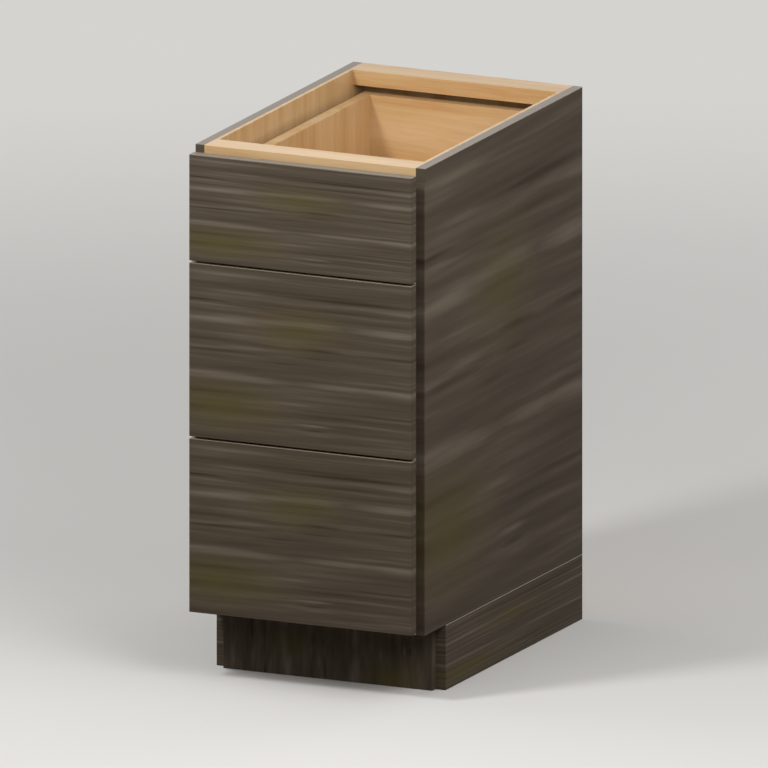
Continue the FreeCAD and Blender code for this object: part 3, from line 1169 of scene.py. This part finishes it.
def lever(node, name):
    """A release lever in an inner rail: a springy arm between a wide foot and a raised thumb pad in front."""
    runner = bpy.context.scene.cabinet_runners
    thickness = mm(1.6)
    arm_height = mm(4.4)
    off_web = mm(0.1)
    pad_length = mm(16)
    foot_length = mm(9)
    wing = mm(3)
    pad_rise = mm(1.6)
    rounding = mm(0.4)
    web_x, opens = web_place(node)
    middle_x = web_x + opens * (runner.rail_sheet + off_web + thickness / 2)
    front_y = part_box(node)[0].y + runner.lever_back
    back_y = front_y + runner.lever_length
    pad_end = front_y + pad_length
    foot_start = back_y - foot_length
    middle = (middle_x, (front_y + back_y) / 2, middle_height(node))
    size = (thickness, runner.lever_length, arm_height)
    piece = start(bpy.ops.mesh.primitive_cube_add, size=1, location=middle, scale=size)
    piece.name = name
    with edit_mode(piece):
        for y in (pad_end, foot_start):
            bpy.ops.mesh.select_all(action="SELECT")
            bpy.ops.mesh.bisect(plane_co=(0, y, 0), plane_no=(0, 1, 0))
        # The pad and the foot are wider than the arm
        select_faces(piece, lambda at, normal: abs(normal.z) > FACING and not pad_end < at.y < foot_start)
        bpy.ops.mesh.extrude_faces_move(TRANSFORM_OT_shrink_fatten={"value": wing})
        select_faces(piece, lambda at, normal: normal.x * opens > FACING and at.y < pad_end)
        bpy.ops.mesh.extrude_region_move(TRANSFORM_OT_translate={"value": (opens * pad_rise, 0, 0)})
        bpy.ops.mesh.select_all(action="SELECT")
        bpy.ops.mesh.remove_doubles(threshold=WELDED)
        bpy.ops.mesh.normals_make_consistent(inside=False)
    round_edges(piece, rounding)
    return piece


class CABINET_OT_release_levers(Operator):
    """Make the levers that free the drawers from their runners"""

    bl_idname = "cabinet.release_levers"
    bl_label = "Release levers"

    def execute(self, context):
        lever_plastic()
        for drawer in DRAWERS:
            for side in SIDES:
                node = f"{drawer}_{side}_inner_rail"
                piece = lever(node, f"{drawer}_{side}_release_lever")
                coat(piece, "acetal_moulding")
                seat(piece, node, stands_for_node=False)
        return {"FINISHED"}


# ---------------------------------------------------------------------------------------------
# Stage
# ---------------------------------------------------------------------------------------------

# The camera's distance, each lamp's width and each lamp's place, from the cabinet's middle, in metres
CAMERA_DISTANCE = 4
LAMPS = {
    "key": (0.4, (-0.77, -1.6, 2.03)),
    "fill": (1.7, (-0.4, -2.0, 1.3)),
    "right": (1.4, (1.6, -1.3, 1.5)),
    "side": (1.0, (1.55, -0.28, 1.9)),
    "left": (2.2, (-2.2, 0.1, 1.0)),
    "back": (2.2, (0.9, 2.2, 1.1)),
}


def aim(name, data, offset):
    """A camera or lamp at its offset from the cabinet's middle, turned towards that middle."""
    low, high = cad_bounds
    made = new_object(name, data)
    made.location = (low + high) / 2 + offset
    made.rotation_mode = "QUATERNION"
    made.rotation_quaternion = (-offset).to_track_quat("-Z", "Y")
    return made


def lay_floor():
    """A round floor, wide enough that every view from above ends on it."""
    reach = bpy.context.scene.cabinet_stage.floor_reach
    floor = start(bpy.ops.mesh.primitive_circle_add, vertices=96, radius=reach, fill_type="NGON")
    floor.name = "studio_floor"
    with edit_mode(floor):
        bpy.ops.mesh.select_all(action="SELECT")
        bpy.ops.mesh.inset(thickness=reach / 2)
    studio_paper()
    coat(floor, "studio_paper")


def place_camera():
    """The camera that looks without perspective."""
    stage = bpy.context.scene.cabinet_stage
    level_reach = math.cos(stage.view_elevation)
    towards = Vector((
        math.sin(stage.view_azimuth) * level_reach,
        -math.cos(stage.view_azimuth) * level_reach,
        math.sin(stage.view_elevation),
    ))
    camera = bpy.data.cameras.new("camera")
    camera.type = "ORTHO"
    camera.ortho_scale = stage.view_height
    bpy.context.scene.camera = aim("camera", camera, towards * CAMERA_DISTANCE)


def hang_lamps():
    """The round lamps, each with its power from the settings."""
    stage = bpy.context.scene.cabinet_stage
    for name, (width, offset) in LAMPS.items():
        lamp = bpy.data.lights.new(f"{name}_lamp", "AREA")
        lamp.shape = "DISK"
        lamp.size = width
        lamp.energy = getattr(stage, f"{name}_power")
        aim(f"{name}_lamp", lamp, Vector(offset))


def light_sky():
    """A white sky, as the camera and reflections see it, that gives only a little light."""
    scene = bpy.context.scene
    scene.world = bpy.data.worlds.new("studio_sky")
    scene.world.use_nodes = True
    tree = scene.world.node_tree
    tree.nodes.clear()
    lit = add(
        tree, "MapRange",
        inputs={
            "Value": seen_rays(tree), "From Min": 0.0, "From Max": 1.0,
            "To Min": scene.cabinet_stage.sky_strength, "To Max": 1.0,
        },
    )
    sky = add(tree, "Background", inputs={"Color": (1, 1, 1, 1), "Strength": lit})
    add(tree, "OutputWorld", inputs={"Surface": sky})


class CABINET_OT_stage(Operator):
    """Set up the floor, the lamps and the camera"""

    bl_idname = "cabinet.stage"
    bl_label = "Stage"

    def execute(self, context):
        lay_floor()
        place_camera()
        hang_lamps()
        light_sky()
        context.scene.view_settings.view_transform = "Standard"
        return {"FINISHED"}


# ---------------------------------------------------------------------------------------------
# Add-on
# ---------------------------------------------------------------------------------------------

OPERATORS = (
    CABINET_OT_stage,
    CABINET_OT_laminated_boards,
    CABINET_OT_drawer_fronts,
    CABINET_OT_maple_boards,
    CABINET_OT_drawer_boxes,
    CABINET_OT_runner_rails,
    CABINET_OT_ball_cages,
    CABINET_OT_screws,
    CABINET_OT_release_levers,
)


class CABINET_PT_panel(Panel):
    """The cabinet's pieces and settings"""

    bl_label = "Drawer base cabinet"
    bl_idname = "CABINET_PT_panel"
    bl_space_type = "VIEW_3D"
    bl_region_type = "UI"
    bl_category = "Cabinet"

    def draw(self, context):
        for operator in OPERATORS:
            self.layout.operator(operator.bl_idname)
        scene = context.scene
        for settings in (scene.cabinet_boards, scene.cabinet_runners, scene.cabinet_stage):
            box = self.layout.box()
            for name in settings.__annotations__:
                box.prop(settings, name)


CLASSES = (BoardSettings, RunnerSettings, StageSettings, *OPERATORS, CABINET_PT_panel)


def register():
    for cls in CLASSES:
        bpy.utils.register_class(cls)
    bpy.types.Scene.cabinet_boards = PointerProperty(type=BoardSettings)
    bpy.types.Scene.cabinet_runners = PointerProperty(type=RunnerSettings)
    bpy.types.Scene.cabinet_stage = PointerProperty(type=StageSettings)


def unregister():
    del bpy.types.Scene.cabinet_stage
    del bpy.types.Scene.cabinet_runners
    del bpy.types.Scene.cabinet_boards
    for cls in reversed(CLASSES):
        bpy.utils.unregister_class(cls)


def main():
    """Builds the dressed cabinet on its stage."""
    register()
    bpy.ops.cabinet.stage()
    bpy.ops.cabinet.laminated_boards()
    bpy.ops.cabinet.drawer_fronts()
    bpy.ops.cabinet.maple_boards()
    bpy.ops.cabinet.drawer_boxes()
    bpy.ops.cabinet.runner_rails()
    bpy.ops.cabinet.ball_cages()
    bpy.ops.cabinet.screws()
    bpy.ops.cabinet.release_levers()


if __name__ == "__main__":
    main()
